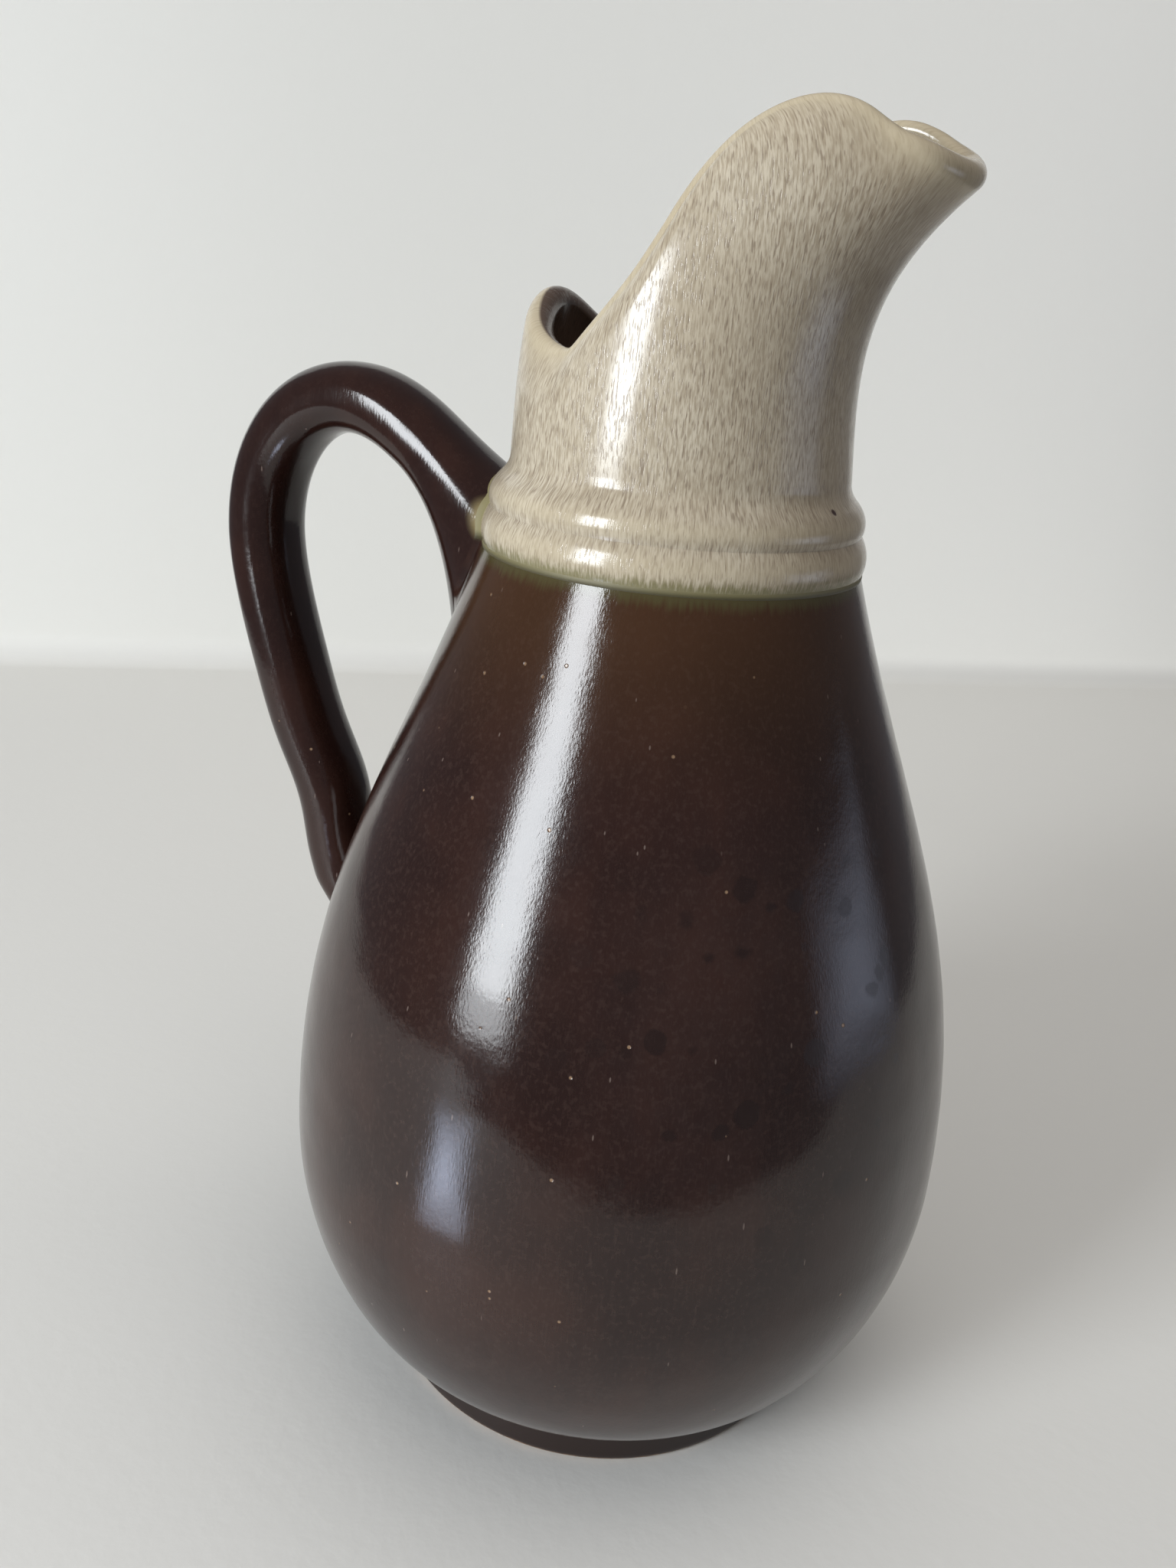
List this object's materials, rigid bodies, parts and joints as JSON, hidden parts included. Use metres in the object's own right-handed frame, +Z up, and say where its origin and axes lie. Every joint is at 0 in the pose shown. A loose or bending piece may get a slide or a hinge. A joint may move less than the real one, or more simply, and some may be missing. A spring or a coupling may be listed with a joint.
{
  "type": "stoneware pouring jug",
  "caption": "Pear-shaped stoneware pouring jug with a beaked spout, beaded collar, strap handle and foot ring.",
  "frame": {"origin": "centre of the foot ring on the table", "axes": "+Z up along the jug's axis, +X towards the spout, -X towards the handle"},
  "size_m": [0.1402, 0.112, 0.2056],
  "materials": {
    "brown_glaze": "glossy dark brown glaze",
    "oatmeal_glaze": "satin oatmeal glaze with fine brown specks",
    "bare_stoneware": "dark stoneware, wiped free of glaze where it stands",
    "fired_slip": "thin fired slip in the joints, under the glaze"
  },
  "bodies": {
    "root": {"body": "brown_glaze", "handle": "brown_glaze", "neck_spout": "oatmeal_glaze", "foot_ring": "bare_stoneware", "foot_slip": "fired_slip", "neck_slip": "fired_slip", "upper_handle_slip": "fired_slip", "lower_handle_slip": "fired_slip"}
  },
  "joints": []
}
